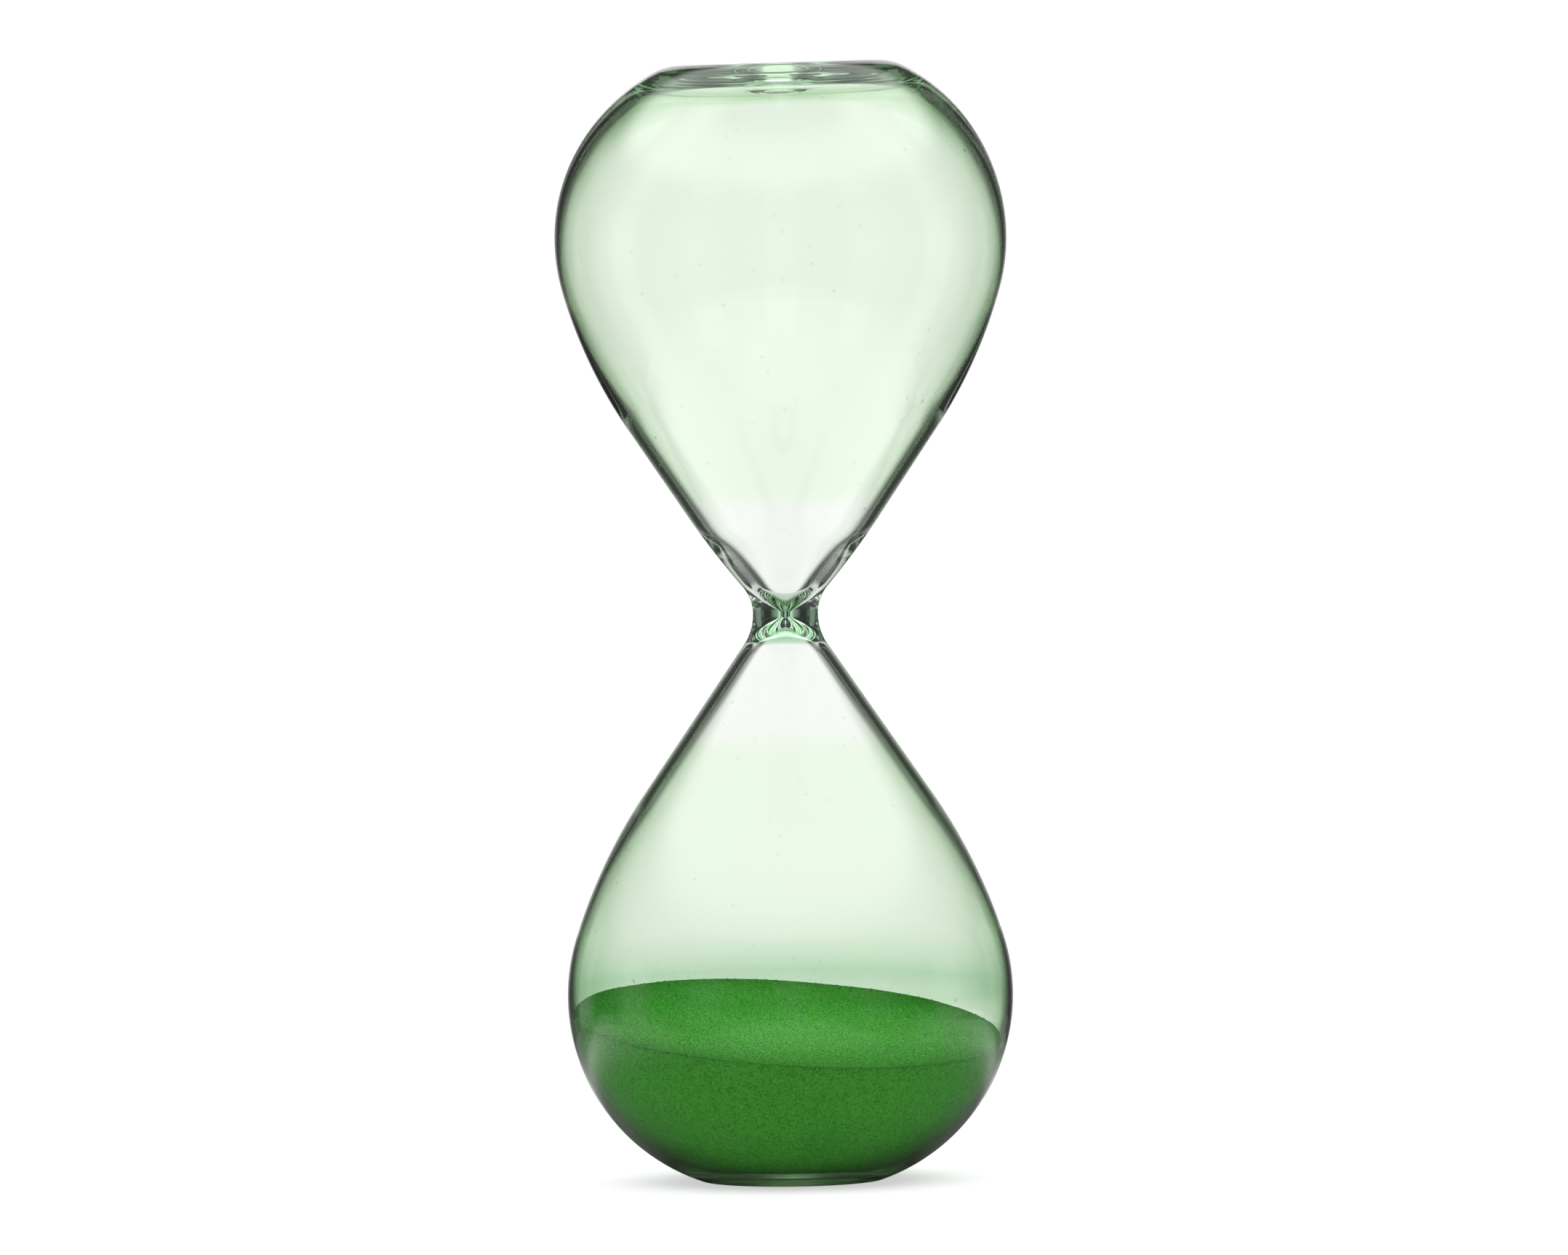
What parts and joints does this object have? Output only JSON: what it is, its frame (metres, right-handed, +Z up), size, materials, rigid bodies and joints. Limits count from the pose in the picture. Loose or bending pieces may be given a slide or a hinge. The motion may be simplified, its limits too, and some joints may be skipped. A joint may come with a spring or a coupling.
{
  "type": "hourglass",
  "caption": "Free-standing blown-glass hourglass with green-tinted bulbs fused to a clear thick neck, green sand settled in the lower bulb and a sealed flat top end.",
  "frame": {"origin": "centre of the foot's flat face", "axes": "+Z up along the axis of revolution, from the sand-filled lower bulb to the empty upper one; the sand's surface slopes down towards +X and -Y"},
  "size_m": [0.0708, 0.0708, 0.175],
  "materials": {
    "bulb_glass": "polished",
    "neck_glass": "polished",
    "sand": "matte, granular"
  },
  "bodies": {
    "root": {"lower_bulb": "bulb_glass", "upper_bulb": "bulb_glass", "neck": "neck_glass", "sand": "sand", "fill_seal": "bulb_glass"}
  },
  "joints": []
}
